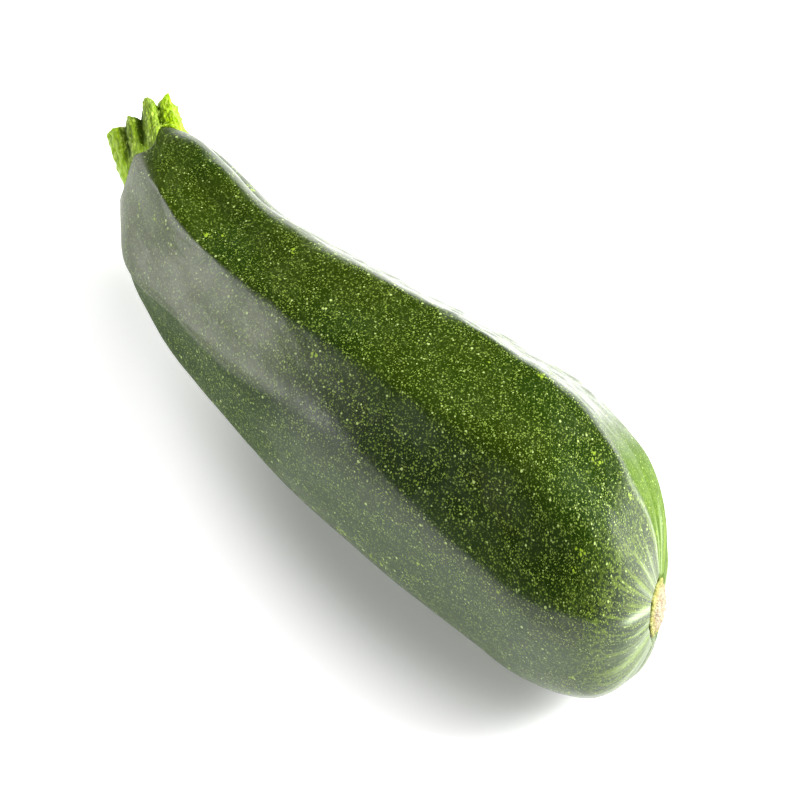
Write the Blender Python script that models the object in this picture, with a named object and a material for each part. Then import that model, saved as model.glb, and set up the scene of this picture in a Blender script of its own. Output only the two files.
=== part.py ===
"""A whole courgette lying on its side, as picked and cut.

It has three pieces: the ribbed green fruit, the stub of its stem and the dry scar of the
flower. Units are metres and +Z is up. The fruit points from its stem at -X to its blossom
end at +X and bows towards -Y. The origin is on the surface that it lies on, under the
middle of the whole.

Angles round the fruit are in degrees, 0 at the top and 90 on the +Y side.
"""

from typing import NamedTuple

import bmesh
import bpy
import numpy as np

MM = 0.001


class Station(NamedTuple):
    """One cross-section of the fruit, square to its bowed middle line."""

    x: float       # place of its centre, in mm
    y: float
    z: float
    radius: float  # mean radius in mm
    yaw: float     # the way the middle line runs there, in degrees
    pitch: float
    relief: float  # depth of a furrow under the ribs beside it, in mm
    lobed: float   # 0 where all is flat between the ribs, 1 where the furrows are full


# The fruit from its seam with the stem to the rim of the dimple at its blossom end
STATIONS = (
    Station(-76.5, -4.1, 22.3, 9.7, -8, 0, 1.0, 1.0),
    Station(-71.0, -5.9, 22.0, 12.5, -6, 0, 2.2, 1.0),
    Station(-62.0, -9.1, 21.8, 15.8, -4, 0, 2.6, 0.9),
    Station(-49.0, -11.6, 21.6, 18.0, -2, 1, 2.5, 0.5),
    Station(-33.0, -11.6, 21.8, 20.9, 1, 3, 2.4, 0.1),
    Station(-13.0, -10.8, 23.3, 24.2, 5, 4, 2.3, 0.0),
    Station(9.5, -9.2, 25.8, 26.7, 9, 3, 2.2, 0.0),
    Station(28.0, -7.2, 27.2, 28.0, 13, 2, 2.0, 0.0),
    Station(44.0, -5.5, 27.9, 28.7, 19, 2, 2.0, 0.0),
    Station(55.3, -5.1, 27.9, 27.5, 21, 4, 2.0, 0.1),
    Station(63.6, -4.4, 28.0, 25.2, 23, 6, 1.9, 0.4),
    Station(70.3, -4.1, 28.0, 20.6, 25, 8, 1.8, 0.8),
    Station(73.9, -3.2, 28.0, 15.0, 28, 9, 1.6, 1.0),
    Station(75.3, -1.9, 28.0, 9.0, 32, 10, 1.1, 1.0),
    Station(75.5, -1.6, 28.0, 7.2, 33, 10, 0.6, 1.0),
)

# The ribs' angles at the stem, near the middle and at the blossom end, and how far along
RIB_ANGLES = (
    (-64, -12, 40, 88, 128, 166, 210, 254),
    (-47, -6, 39, 83, 121, 160, 207, 260),
    (-50, -8, 16, 74, 118, 160, 206, 258),
)
RIB_ANGLE_SHARES = (0.0, 0.45, 1.0)
RIB_ROUNDING = 0.3   # how far the rounded crest of a rib reaches into the flat beside it
RIB_RISE = 0.2       # the share of the relief that stands out from the mean radius
FLAT_SHARE = 0.5     # depth of the flats between ribs, as a share of the furrows' depth
FURROW_POWER = 2.6   # higher for a narrower furrow between lobes
FURROWED = (0.2, 0.15, 1.0, 0.9, 0.6, 0.5, 0.9, 0.4)   # how far each gap closes to a furrow

FRUIT_RINGS = 52
COLUMNS_BETWEEN_RIBS = 10

# The seam between fruit and stem: the stem's tongues reach down between arcs of skin
TONGUE_REACH = 3.0 * MM
SEAM_FADE = 9.0 * MM     # how far down the shoulder the arcs can be followed
ARC_OVERHANG = 0.07      # the skin's arcs stand out past the stem by this share of the radius


class StemStation(NamedTuple):
    """One cross-section of the stem, from its seam with the fruit to its cut."""

    x: float
    y: float
    z: float
    radius: float
    yaw: float
    groove: float  # depth of the grooves between its lobes, in mm


STEM_STATIONS = (
    StemStation(-76.5, -4.1, 22.3, 9.6, -8, 0.6),
    StemStation(-81.2, -1.9, 22.6, 9.0, -9, 1.9),
    StemStation(-86.0, 0.5, 23.0, 8.8, -10, 2.2),
)
TONGUE_ANGLES = (-100, -26, 62, 138, 202)   # the stem's lobes where they meet the fruit
LOBE_ANGLES = (-72, -3, 58, 136, 212)       # and at the cut
CUT_STEPS = (-0.6, 0.3, -0.9, -0.3, 0.7)    # how far each lobe stands back at the cut, in mm
GROOVE_TURN = 4.5        # the grooves' profile in radians: past pi it leaves a minor ridge
GROOVE_SETBACK = 0.9 * MM
CUT_DISH = 0.9 * MM
CUT_EDGE_START = 0.75    # the uneven cut edge begins this far up the stem
CUT_RING_SHARES = (0.35, 0.68, 0.9)
SEAM_SHARE = 0.6         # the seam's tongues can be followed this far up the stem

STEM_RINGS = 12
COLUMNS_BETWEEN_LOBES = 14

# The dry scar sits in a dimple, as a thin pad with a torn edge
DIMPLE_DEPTH = 1.6 * MM
DIMPLE_RING_SHARES = (0.86, 0.66, 0.4)
SCAR_COLUMNS = 48
SCAR_SHARE = 0.9             # its radius as a share of the dimple's
SCAR_THICKNESS = 1.3 * MM
SCAR_WALL_SHARE = 0.5        # the upright part of its edge, as a share of the thickness
SCAR_WAVES = ((5, 0.07, 0.4), (8, 0.05, 1.9), (13, 0.03, 0.8))   # count, height, phase
SCAR_RING_SHARES = (0.94, 0.8, 0.6, 0.35)

CONTACT_GAP = 0.3 * MM       # between pieces that touch
SURFACE_HEIGHT = 0.0         # of what the courgette lies on, which flattens it a little

SKIN_GREEN = (0.045, 0.105, 0.012)
STEM_GREEN = (0.33, 0.50, 0.04)
DRY_CREAM = (0.76, 0.66, 0.42)

NO_WAY = 1e-9                # stands for zero where a width is divided by


def smooth_rows(rows, knots, places):
    """Reads a table at any places along it, on one smooth curve through its rows."""
    rows = np.asarray(rows, dtype=float)
    knots = np.asarray(knots, dtype=float)
    places = np.asarray(places, dtype=float)
    slopes = np.gradient(rows, knots, axis=0)
    low = np.clip(np.searchsorted(knots, places) - 1, 0, len(knots) - 2)
    span = (knots[low + 1] - knots[low])[..., None]
    t = (places - knots[low])[..., None] / span
    return ((2 * t**3 - 3 * t**2 + 1) * rows[low] + (t**3 - 2 * t**2 + t) * span * slopes[low]
            + (3 * t**2 - 2 * t**3) * rows[low + 1] + (t**3 - t**2) * span * slopes[low + 1])


def path_knots(stations):
    """The way along the surface to each station, from steps in place and in radius."""
    steps = np.diff([station[:4] for station in stations], axis=0)
    return np.concatenate([[0.0], np.cumsum(np.linalg.norm(steps, axis=1))]) * MM


def directions(yaw, pitch):
    """The axis, the sideways and the upward direction of a section, as unit vectors."""
    yaw, pitch = np.radians(yaw), np.radians(pitch)
    flat = np.cos(pitch)
    axis = np.stack([np.cos(yaw) * flat, np.sin(yaw) * flat, np.sin(pitch)], axis=-1)
    side = np.stack([-np.sin(yaw), np.cos(yaw), np.zeros_like(yaw)], axis=-1)
    return axis, side, np.cross(axis, side)


def round_the_axis(angle, side, up):
    """The outward direction at an angle round a section."""
    angle = np.radians(angle)[..., None]
    return np.cos(angle) * up + np.sin(angle) * side


def way_from_nearest(angle, crests):
    """0 on a crest and 1 half-way to the next, and which gap between crests it is."""
    behind = np.mod(angle[..., None] - crests, 360)
    back = np.min(behind, axis=-1)
    ahead = np.min(np.mod(crests - angle[..., None], 360), axis=-1)
    way = 2 * np.minimum(back, ahead) / np.maximum(back + ahead, NO_WAY)
    return way, np.argmin(behind, axis=-1)


def spread_columns(crests, count):
    """Angles round a section, with a column on each crest and count from crest to crest."""
    share = np.arange(count) / count
    following = np.roll(crests, -1, axis=-1)
    width = np.mod(following - crests, 360)
    angles = crests[..., None] + width[..., None] * share
    return angles.reshape(*crests.shape[:-1], -1)


FRUIT_KNOTS = path_knots(STATIONS)
FRUIT_LENGTH = FRUIT_KNOTS[-1]


def rib_angles(path):
    """The ribs' angles at any way along the fruit."""
    return smooth_rows(RIB_ANGLES, np.array(RIB_ANGLE_SHARES) * FRUIT_LENGTH, path)


def seam_reach(angle):
    """How far the seam lies down the fruit: furthest at the stem's tongues."""
    way, _ = way_from_nearest(angle, np.array(TONGUE_ANGLES, dtype=float))
    return TONGUE_REACH * np.cos(np.pi * way) / 2


def skin_points(path, angle):
    """The fruit's surface at any way along it and any angle round it."""
    fade = np.clip(1 - path / SEAM_FADE, 0, 1)
    path = path + seam_reach(angle) * fade**2
    rows = smooth_rows(STATIONS, FRUIT_KNOTS, path)
    radius, yaw, pitch, relief, lobed = np.moveaxis(rows[..., 3:], -1, 0)
    way, gap = way_from_nearest(angle, rib_angles(path))
    lobed = lobed * np.array(FURROWED)[gap]
    crest = (np.hypot(way, RIB_ROUNDING) - RIB_ROUNDING) / (np.hypot(1, RIB_ROUNDING) - RIB_ROUNDING)
    flat = FLAT_SHARE * (1 - (1 - crest)**2)
    drop = (1 - lobed) * flat + lobed * way**FURROW_POWER
    distance = (radius + relief * (RIB_RISE - drop)) * MM
    _, side, up = directions(yaw, pitch)
    return rows[..., :3] * MM + distance[..., None] * round_the_axis(angle, side, up)


def station_centre(station):
    """The middle of a section."""
    return np.array(station[:3]) * MM


def axis_at(yaw, pitch=0.0):
    """The direction of the middle line where it turns by these angles."""
    return directions(np.float64(yaw), np.float64(pitch))[0]


def clear_scene():
    """Removes whatever the opened file holds."""
    for item in list(bpy.data.objects):
        bpy.data.objects.remove(item, do_unlink=True)


def material(name, colour, roughness):
    """A plain Principled material."""
    finish = bpy.data.materials.new(name)
    finish.use_nodes = True
    shader = finish.node_tree.nodes["Principled BSDF"]
    shader.inputs["Base Color"].default_value = (*colour, 1.0)
    shader.inputs["Roughness"].default_value = roughness
    shader.inputs["Metallic"].default_value = 0.0
    return finish


def closed_body(name, rings, first_centre, last_centre, origin, finish):
    """Joins rings of points into one closed body, with a point in the middle of each end."""
    bm = bmesh.new()
    loops = [[bm.verts.new(point - origin) for point in ring] for ring in rings]
    count = len(loops[0])
    for near, far in zip(loops, loops[1:]):
        for here in range(count):
            there = (here + 1) % count
            bm.faces.new((near[here], far[here], far[there], near[there]))
    for loop, centre in ((loops[0], first_centre), (loops[-1][::-1], last_centre)):
        pole = bm.verts.new(centre - origin)
        for here in range(count):
            bm.faces.new((pole, loop[here], loop[(here + 1) % count]))
    bmesh.ops.recalc_face_normals(bm, faces=bm.faces)
    mesh = bpy.data.meshes.new(name)
    bm.to_mesh(mesh)
    bm.free()
    mesh.shade_smooth()
    mesh.materials.append(finish)
    piece = bpy.data.objects.new(name, mesh)
    piece.location = origin
    bpy.context.collection.objects.link(piece)
    return piece


def seat_points(share, angle):
    """The floor of the dimple, from its middle at share 0 to its rim at share 1."""
    rim = skin_points(np.full_like(angle, FRUIT_LENGTH), angle)
    centre = station_centre(STATIONS[-1])
    axis = axis_at(STATIONS[-1].yaw, STATIONS[-1].pitch)
    depth = DIMPLE_DEPTH * (1 - np.square(share))
    return centre + (rim - centre) * share[:, None] - axis * depth[:, None]


def seat_middle():
    """The lowest point of the dimple."""
    return seat_points(np.zeros(1), np.zeros(1))[0]


def make_fruit():
    """The fruit, with ribs that follow it from end to end and a flat place to lie on."""
    path = np.linspace(0, FRUIT_LENGTH, FRUIT_RINGS)
    columns = spread_columns(rib_angles(path), COLUMNS_BETWEEN_RIBS)
    rings = list(skin_points(np.broadcast_to(path[:, None], columns.shape), columns))
    rings += [seat_points(np.full_like(columns[-1], share), columns[-1]) for share in DIMPLE_RING_SHARES]
    for ring in rings:
        ring[:, 2] = np.maximum(ring[:, 2], SURFACE_HEIGHT)
    stem_end = station_centre(STATIONS[0])
    green = material("courgette skin", SKIN_GREEN, 0.35)
    return closed_body("fruit", rings, stem_end, seat_middle(), np.zeros(3), green)


def stem_ring(share, columns, from_lobe):
    """A ring of the stem at a share of its length, with lobes, grooves and minor ridges."""
    knots = np.linspace(0, 1, len(STEM_STATIONS))
    row = StemStation(*smooth_rows(STEM_STATIONS, knots, share))
    axis, side, up = directions(np.float64(row.yaw), np.zeros(()))
    groove = (1 - np.cos(GROOVE_TURN * from_lobe)) / 2
    distance = (row.radius - row.groove * groove) * MM
    edge = max(0.0, (share - CUT_EDGE_START) / (1 - CUT_EDGE_START))
    nearest = np.repeat(np.arange(len(LOBE_ANGLES)), COLUMNS_BETWEEN_LOBES)
    steps = np.array(CUT_STEPS) * MM
    way = np.tile(np.arange(COLUMNS_BETWEEN_LOBES) / COLUMNS_BETWEEN_LOBES, len(LOBE_ANGLES))
    step = steps[nearest] * (1 - way) + np.roll(steps, -1)[nearest] * way
    setback = (step + GROOVE_SETBACK * groove) * edge
    setback += seam_reach(columns) * max(0.0, 1 - share / SEAM_SHARE)**2
    outward = round_the_axis(columns, side, up)
    return station_centre(row) + distance[:, None] * outward + setback[:, None] * axis


def make_stem():
    """The stub of the stem, seated on the fruit's end and cut off unevenly."""
    count = COLUMNS_BETWEEN_LOBES
    base = spread_columns(np.array(TONGUE_ANGLES, dtype=float), count)
    end = spread_columns(np.array(LOBE_ANGLES, dtype=float), count)
    from_lobe = np.tile(1 - np.abs(2 * np.arange(count) / count - 1), len(LOBE_ANGLES))

    axis = axis_at(STATIONS[0].yaw)
    seat_centre = station_centre(STATIONS[0]) - axis * CONTACT_GAP
    rim = skin_points(np.zeros_like(base), base) - axis * CONTACT_GAP
    under_arc = 1 - ARC_OVERHANG * from_lobe
    rings = [seat_centre + (rim - seat_centre) * under_arc[:, None]]
    for share in np.linspace(0, 1, STEM_RINGS)[1:]:
        rings.append(stem_ring(share, base + (end - base) * share, from_lobe))
    cut_rim = rings[-1]
    cut_centre = cut_rim.mean(axis=0) + axis_at(STEM_STATIONS[-1].yaw) * CUT_DISH
    inner = [cut_centre + (cut_rim - cut_centre) * share for share in CUT_RING_SHARES]
    rings = inner + rings[::-1]
    pale_green = material("stem rind", STEM_GREEN, 0.55)
    return closed_body("stem", rings, cut_centre, seat_centre, seat_centre, pale_green)


def make_blossom_scar():
    """The dry pad that the flower left, with a torn edge and a sunken middle."""
    angle = np.linspace(0, 360, SCAR_COLUMNS, endpoint=False)
    torn = np.ones(SCAR_COLUMNS)
    for count, height, phase in SCAR_WAVES:
        torn -= height * (1 + np.sin(count * np.radians(angle) + phase)) / 2
    edge = SCAR_SHARE * torn
    axis = axis_at(STATIONS[-1].yaw, STATIONS[-1].pitch)

    def pad_ring(share, lift):
        return seat_points(edge * share, angle) + axis * (CONTACT_GAP + lift)

    underside = [pad_ring(share, 0.0) for share in reversed(SCAR_RING_SHARES[1:])]
    wall = [pad_ring(1.0, 0.0), pad_ring(1.0, SCAR_THICKNESS * SCAR_WALL_SHARE)]
    top = [pad_ring(share, SCAR_THICKNESS) for share in SCAR_RING_SHARES]
    bottom_centre = seat_middle() + axis * CONTACT_GAP
    top_centre = bottom_centre + axis * SCAR_THICKNESS
    dry = material("dry scar", DRY_CREAM, 0.8)
    rings = underside + wall + top
    return closed_body("blossom_scar", rings, bottom_centre, top_centre, bottom_centre, dry)


def centre_on_surface(pieces):
    """Hangs the pieces on one empty that puts the middle of the whole over the origin."""
    corners = [np.array(vertex.co) + np.array(piece.location)
               for piece in pieces for vertex in piece.data.vertices]
    middle = (np.min(corners, axis=0) + np.max(corners, axis=0)) / 2
    holder = bpy.data.objects.new("courgette", None)
    holder.location = (-middle[0], -middle[1], 0.0)
    bpy.context.collection.objects.link(holder)
    for piece in pieces:
        piece.parent = holder
    bpy.context.view_layer.update()


clear_scene()
centre_on_surface([make_fruit(), make_stem(), make_blossom_scar()])
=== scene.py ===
"""The looks of a whole courgette that lies on its side on a pale floor.

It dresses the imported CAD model: the ribbed skin replaces the plain fruit, the fibrous stub
replaces the plain stem, and the corky scar replaces the plain pad at the blossom end.
Units are metres, +Z is up, and everything is in the CAD model's own frame. The fruit points
from its stem at -X to its blossom end at +X.

Each piece starts as a circle that is extruded ring by ring. Its points are then set by the
form that the CAD model has too, with the fine relief that only the looks need. Angles round
a piece are in degrees, 0 at the top and 90 on the +Y side.
"""

import logging
import math
from dataclasses import dataclass
from enum import Enum
from functools import cache

import bpy
import numpy as np
from mathutils import Matrix, Vector


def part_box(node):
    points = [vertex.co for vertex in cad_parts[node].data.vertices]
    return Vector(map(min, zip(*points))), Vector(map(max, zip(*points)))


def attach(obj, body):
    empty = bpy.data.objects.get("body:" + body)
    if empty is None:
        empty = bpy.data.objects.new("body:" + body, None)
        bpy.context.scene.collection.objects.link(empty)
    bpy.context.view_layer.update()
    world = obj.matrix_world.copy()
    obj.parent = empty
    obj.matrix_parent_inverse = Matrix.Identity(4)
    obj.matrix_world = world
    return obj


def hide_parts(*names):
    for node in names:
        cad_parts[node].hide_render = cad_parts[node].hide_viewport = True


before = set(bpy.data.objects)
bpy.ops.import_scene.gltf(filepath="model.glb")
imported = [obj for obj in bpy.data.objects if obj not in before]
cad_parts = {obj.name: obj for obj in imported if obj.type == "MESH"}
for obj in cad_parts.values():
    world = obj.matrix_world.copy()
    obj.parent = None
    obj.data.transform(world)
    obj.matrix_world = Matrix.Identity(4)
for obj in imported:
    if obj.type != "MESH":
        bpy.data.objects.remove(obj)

LOG = logging.getLogger("courgette")
BODY = "root"
MM = 0.001
NO_WAY = 1e-9  # stands for zero where something is divided by a width
RING_PLACE = "ring_place"
PATTERN_PLACE = "pattern_place"
MARKS = "marks"
ZONES = "zones"

Colour = tuple[float, float, float]
Span = tuple[float, float]
Table = tuple[tuple[float, ...], ...]
Socket = bpy.types.NodeSocket

# The fruit's cross-sections: x, y, z, mean radius in mm, yaw, pitch in degrees, depth of the
# furrows in mm, and how far the flats between the ribs close to furrows
FRUIT_STATIONS: Table = (
    (-76.5, -4.1, 22.3, 9.7, -8, 0, 1.0, 1.0),
    (-71.0, -5.9, 22.0, 12.5, -6, 0, 2.2, 1.0),
    (-62.0, -9.1, 21.8, 15.8, -4, 0, 2.6, 0.9),
    (-49.0, -11.6, 21.6, 18.0, -2, 1, 2.5, 0.5),
    (-33.0, -11.6, 21.8, 20.9, 1, 3, 2.4, 0.1),
    (-13.0, -10.8, 23.3, 24.2, 5, 4, 2.3, 0.0),
    (9.5, -9.2, 25.8, 26.7, 9, 3, 2.2, 0.0),
    (28.0, -7.2, 27.2, 28.0, 13, 2, 2.0, 0.0),
    (44.0, -5.5, 27.9, 28.7, 19, 2, 2.0, 0.0),
    (55.3, -5.1, 27.9, 27.5, 21, 4, 2.0, 0.1),
    (63.6, -4.4, 28.0, 25.2, 23, 6, 1.9, 0.4),
    (70.3, -4.1, 28.0, 20.6, 25, 8, 1.8, 0.8),
    (73.9, -3.2, 28.0, 15.0, 28, 9, 1.6, 1.0),
    (75.3, -1.9, 28.0, 9.0, 32, 10, 1.1, 1.0),
    (75.5, -1.6, 28.0, 7.2, 33, 10, 0.6, 1.0),
)
RIB_ANGLES: Table = (
    (-64, -12, 40, 88, 128, 166, 210, 254),
    (-47, -6, 39, 83, 121, 160, 207, 260),
    (-50, -8, 16, 74, 118, 160, 206, 258),
)
# The ribs as the skin shows them: way along in mm, then each rib's angle. The first one runs
# low down the neck and turns up into the body
SHOWN_RIBS: Table = (
    (0, -98, -25, 42, 88, 128, 166, 210, 238), (8, -96, -22, 42, 88, 128, 166, 210, 240),
    (15, -91, -18, 42, 88, 128, 166, 210, 243), (22, -82, -18, 41, 87, 127, 165, 209, 247),
    (30, -70, -17, 39, 87, 127, 165, 209, 252), (38, -62, -16, 36, 86, 126, 165, 209, 257),
    (48, -59, -16, 33, 85, 124, 163, 208, 263), (57, -55, -15, 32, 84, 123, 162, 208, 266),
    (65, -50, -15, 33, 83, 122, 161, 207, 265), (72, -46, -14, 34, 83, 121, 160, 207, 262),
    (80, -44, -13, 37, 83, 121, 160, 207, 261), (90, -45, -12, 38, 82, 121, 160, 207, 260),
    (105, -48, -12, 37, 81, 120, 160, 207, 260), (120, -52, -10, 35, 79, 120, 160, 207, 259),
    (130, -53, -9, 36, 78, 119, 160, 206, 259), (138, -50, -8, 33, 77, 119, 160, 206, 258),
    (146, -46, -8, 30, 76, 119, 160, 206, 258), (155, -44, -8, 36, 76, 118, 160, 206, 258),
    (162, -44, -8, 38, 75, 118, 160, 206, 258), (168, -44, -8, 37, 74, 118, 160, 206, 258),
)
# How blunt each rib is: way along in mm, then 0.1 for a crease up to 1 for no rib
SHOWN_BLUNTNESS: Table = (
    (0, 0.3, 1.00, 1.2, 0.3, 0.3, 0.3, 0.3, 0.5), (12, 0.2, 0.16, 1.2, 0.3, 0.3, 0.3, 0.3, 0.5),
    (44, 0.14, 0.10, 1.0, 0.3, 0.3, 0.3, 0.3, 0.7), (58, 1.2, 0.12, 0.6, 0.3, 0.3, 0.3, 0.3, 1.2),
    (78, 1.6, 0.16, 0.2, 0.2, 0.3, 0.3, 0.3, 1.2), (92, 0.50, 0.20, 0.10, 0.2, 0.3, 0.3, 0.3, 0.9),
    (108, 0.14, 0.30, 0.10, 0.2, 0.3, 0.3, 0.3, 0.6), (128, 0.16, 0.80, 0.12, 0.2, 0.3, 0.3, 0.3, 0.5),
    (144, 0.40, 1.20, 0.10, 0.3, 0.3, 0.3, 0.3, 0.5), (168, 0.80, 1.20, 0.05, 0.5, 0.3, 0.3, 0.3, 0.6),
)
# How flat each facet is drawn, from one rib to the next: way along in mm, then the shares
FACET_SHARES: Table = (
    (0, 1.0, 1.0, 1.15, 1.0, 0.9, 0.9, 1.0, 1.0), (54, 1.0, 1.0, 1.15, 1.0, 0.9, 0.9, 1.0, 0.9),
    (66, 0.75, 1.0, 1.18, 1.0, 0.9, 0.9, 1.0, 0.35), (82, 0.8, 1.0, 1.20, 1.0, 0.9, 0.9, 1.0, 0.40),
    (98, 1.0, 1.0, 1.22, 1.0, 0.9, 0.9, 1.0, 0.6), (130, 1.0, 1.0, 1.20, 1.0, 0.9, 0.9, 1.0, 0.6),
    (146, 1.0, 1.0, 0.80, 1.0, 0.9, 0.9, 1.0, 0.6), (168, 1.0, 1.0, 0.65, 1.0, 0.9, 0.9, 1.0, 0.6),
)
# The seam between skin and stem: angle, and how far down the fruit it lies in mm
SHOWN_SEAM: Table = (
    (-112, 1.6), (-100, 3.0), (-80, 3.6), (-64, 3.2), (-54, 2.6), (-46, 1.9), (-38, 1.0), (-32, 0.45),
    (-26, 1.0), (-20, 1.7), (-12, 2.2), (-6, 1.8), (5, -0.5), (13, -2.2), (20, -2.9), (28, -2.7),
    (36, -1.6), (42, 0.3), (50, 2.0), (62, 2.9), (80, 0.6), (100, -1.8), (120, 0.9), (138, 2.9),
    (156, 0.6), (170, -1.5), (186, 0.8), (202, 2.9), (222, 0.5), (238, -0.8), (248, 1.6), (260, 3.0),
    (272, 3.6),
)
# Pleats near the scar: angle and half width in degrees, height in mm
PLEATS: Table = (
    (-24, 7, 0.45), (-42, 7, -0.65), (-60, 8, 0.35), (-74, 6, -0.40), (3, 9, -0.25), (20, 7, -0.35),
    (37, 5, 0.45), (54, 7, -0.30), (100, 7, 0.4), (128, 6, -0.4), (152, 9, 0.4), (185, 6, -0.35),
    (214, 9, 0.4), (236, 7, -0.4),
)
# The stem's prongs: angle at the seam and at the cut, radius and height of the cut in mm, and
# how yellow the rind is
PRONGS: Table = (
    (-100, -103, 8.8, 0.7, 1.0), (-88, -86, 9.2, 1.0, 1.0), (-74, -72, 8.9, 0.7, 1.0),
    (-60, -61, 8.5, 0.1, 1.0), (-54, -56, 7.5, -0.9, 0.6), (-48, -50, 6.9, -1.3, 0.0),
    (-42, -41, 7.5, -0.9, 0.1), (-34, -31, 7.8, -0.5, 0.2), (-27, -24, 7.2, -1.3, 0.4),
    (-21, -17, 5.9, -2.1, 0.8), (-15, -5, 6.8, -0.8, 0.3), (-9, 2, 8.2, 0.2, 0.1),
    (0, 10, 8.6, 0.3, 0.15), (10, 17, 8.3, -0.3, 0.2), (18, 22, 7.3, -0.9, 0.4), (23, 27, 6.4, -1.3, 0.6),
    (28, 33, 7.0, -0.7, 0.9), (36, 41, 8.2, -0.1, 1.0), (44, 47, 8.9, 0.4, 1.0), (52, 53, 8.3, -0.8, 1.0),
    (62, 62, 7.8, -1.4, 1.0), (74, 73, 7.8, -1.3, 0.7), (88, 86, 8.2, -0.8, 0.5),
    (100, 98, 7.0, -1.2, 0.2), (112, 110, 6.7, -1.0, 0.2), (124, 122, 8.4, 0.3, 0.6),
    (138, 137, 8.8, 0.6, 0.9), (152, 151, 8.3, -0.2, 0.6), (164, 164, 6.8, -0.9, 0.2),
    (172, 173, 6.6, -0.8, 0.2), (184, 186, 8.2, 0.2, 0.6), (200, 202, 8.8, 0.5, 0.9),
    (216, 217, 8.4, 0.0, 0.7), (230, 230, 7.0, -0.8, 0.2), (240, 240, 6.8, -0.5, 0.3),
    (250, 249, 8.0, 0.3, 0.7),
)
# The stem's cross-sections: x, y, z, radius in mm, yaw in degrees
STEM_STATIONS: Table = (
    (-76.5, -4.1, 22.3, 9.6, -8),
    (-81.2, -1.9, 22.6, 9.0, -9),
    (-86.0, 0.5, 23.0, 8.8, -10),
)


class Slot(Enum):
    """The record's material slots."""

    FRUIT_SKIN = "fruit_skin"
    STEM_RIND = "stem_rind"
    DRY_SCAR = "dry_scar"


def smooth_rows(rows: Table, knots: np.ndarray, places: np.ndarray) -> np.ndarray:
    """Reads a table at any places along it, on one smooth curve through its rows.

    Args:
        rows: the table, one row at each knot.
        knots: the rows' own places, rising.
        places: where to read.

    Returns:
        One row for each place.
    """
    table = np.asarray(rows, dtype=float)
    slopes = np.gradient(table, knots, axis=0)
    low = np.clip(np.searchsorted(knots, places) - 1, 0, len(knots) - 2)
    span = (knots[low + 1] - knots[low])[..., None]
    t = (places - knots[low])[..., None] / span
    return ((2 * t**3 - 3 * t**2 + 1) * table[low] + (t**3 - 2 * t**2 + t) * span * slopes[low]
            + (3 * t**2 - 2 * t**3) * table[low + 1] + (t**3 - t**2) * span * slopes[low + 1])


def directions(yaw: np.ndarray, pitch: np.ndarray) -> tuple[np.ndarray, np.ndarray, np.ndarray]:
    """Gives the axis, the sideways and the upward direction of a section.

    Args:
        yaw: turn of the middle line to the left, in degrees.
        pitch: its rise, in degrees.

    Returns:
        Three arrays of unit vectors.
    """
    yaw, pitch = np.radians(yaw), np.radians(pitch)
    flat = np.cos(pitch)
    axis = np.stack([np.cos(yaw) * flat, np.sin(yaw) * flat, np.sin(pitch)], axis=-1)
    side = np.stack([-np.sin(yaw), np.cos(yaw), np.zeros_like(yaw)], axis=-1)
    return axis, side, np.cross(axis, side)


def round_the_axis(angle: np.ndarray, side: np.ndarray, up: np.ndarray) -> np.ndarray:
    """Gives the outward direction at an angle round a section.

    Args:
        angle: in degrees, 0 towards up and 90 towards side.
        side: the section's sideways direction.
        up: its upward direction.

    Returns:
        Unit vectors.
    """
    angle = np.radians(angle)[..., None]
    return np.cos(angle) * up + np.sin(angle) * side


def between_crests(angle: np.ndarray, crests: np.ndarray) -> tuple[np.ndarray, np.ndarray]:
    """Finds where an angle lies between the crests round a section.

    Args:
        angle: in degrees.
        crests: the crests' angles, along the last axis.

    Returns:
        The way from the nearest crest, 0 on it and 1 half-way to the next, and the number of
        the gap.
    """
    behind = np.mod(angle[..., None] - crests, 360)
    back = np.min(behind, axis=-1)
    ahead = np.min(np.mod(crests - angle[..., None], 360), axis=-1)
    way = 2 * np.minimum(back, ahead) / np.maximum(back + ahead, NO_WAY)
    return way, np.argmin(behind, axis=-1)


def follow_crests(turn: np.ndarray, crests: np.ndarray) -> np.ndarray:
    """Turns a share of the way round into an angle, with as much of it in every gap.

    Args:
        turn: from 0 to 1 once round, from the first crest.
        crests: the crests' angles, along the last axis, in rising order.

    Returns:
        The angles in degrees.
    """
    count = crests.shape[-1]
    crests = np.broadcast_to(crests, (*turn.shape, count))
    closed = np.concatenate([crests, crests[..., :1] + 360], axis=-1)
    gap = np.minimum((turn * count).astype(int), count - 1)
    share = turn * count - gap
    here, there = picked(closed, gap), picked(closed, gap + 1)
    return here + (there - here) * share


def smooth_step(value: np.ndarray, low: float, high: float) -> np.ndarray:
    """Rises smoothly from 0 at low to 1 at high."""
    t = np.clip((value - low) / (high - low), 0, 1)
    return t * t * (3 - 2 * t)


def hill(value: np.ndarray, rise: Span, fall: Span) -> np.ndarray:
    """Rises smoothly from 0 to 1 over one span and falls back over another."""
    return smooth_step(value, *rise) * (1 - smooth_step(value, *fall))


def half_turned(angle: np.ndarray) -> np.ndarray:
    """Brings angles in degrees between -180 and 180."""
    return np.mod(angle + 180, 360) - 180


def round_places(radius: object, radians: np.ndarray, along: np.ndarray) -> np.ndarray:
    """Gives places round an upright line, for the patterns."""
    return np.column_stack([radius * np.cos(radians), radius * np.sin(radians), along])


def picked(table: np.ndarray, number: np.ndarray) -> np.ndarray:
    """Takes from each row the value with that row's number."""
    return np.take_along_axis(table, number[..., None], axis=-1)[..., 0]


def blunted(way: np.ndarray, blunt: object) -> np.ndarray:
    """Gives how far the way from a crest counts, from 0 on it to 1 half-way, less near a blunt one."""
    return (np.hypot(way, blunt) - blunt) / (np.hypot(1, blunt) - blunt)


def read_along(table: Table, path: np.ndarray) -> np.ndarray:
    """Reads a table whose first column is the way along the fruit in mm."""
    rows = np.array(table, dtype=float)
    return smooth_rows(rows[:, 1:], rows[:, 0], path / MM)


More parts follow.
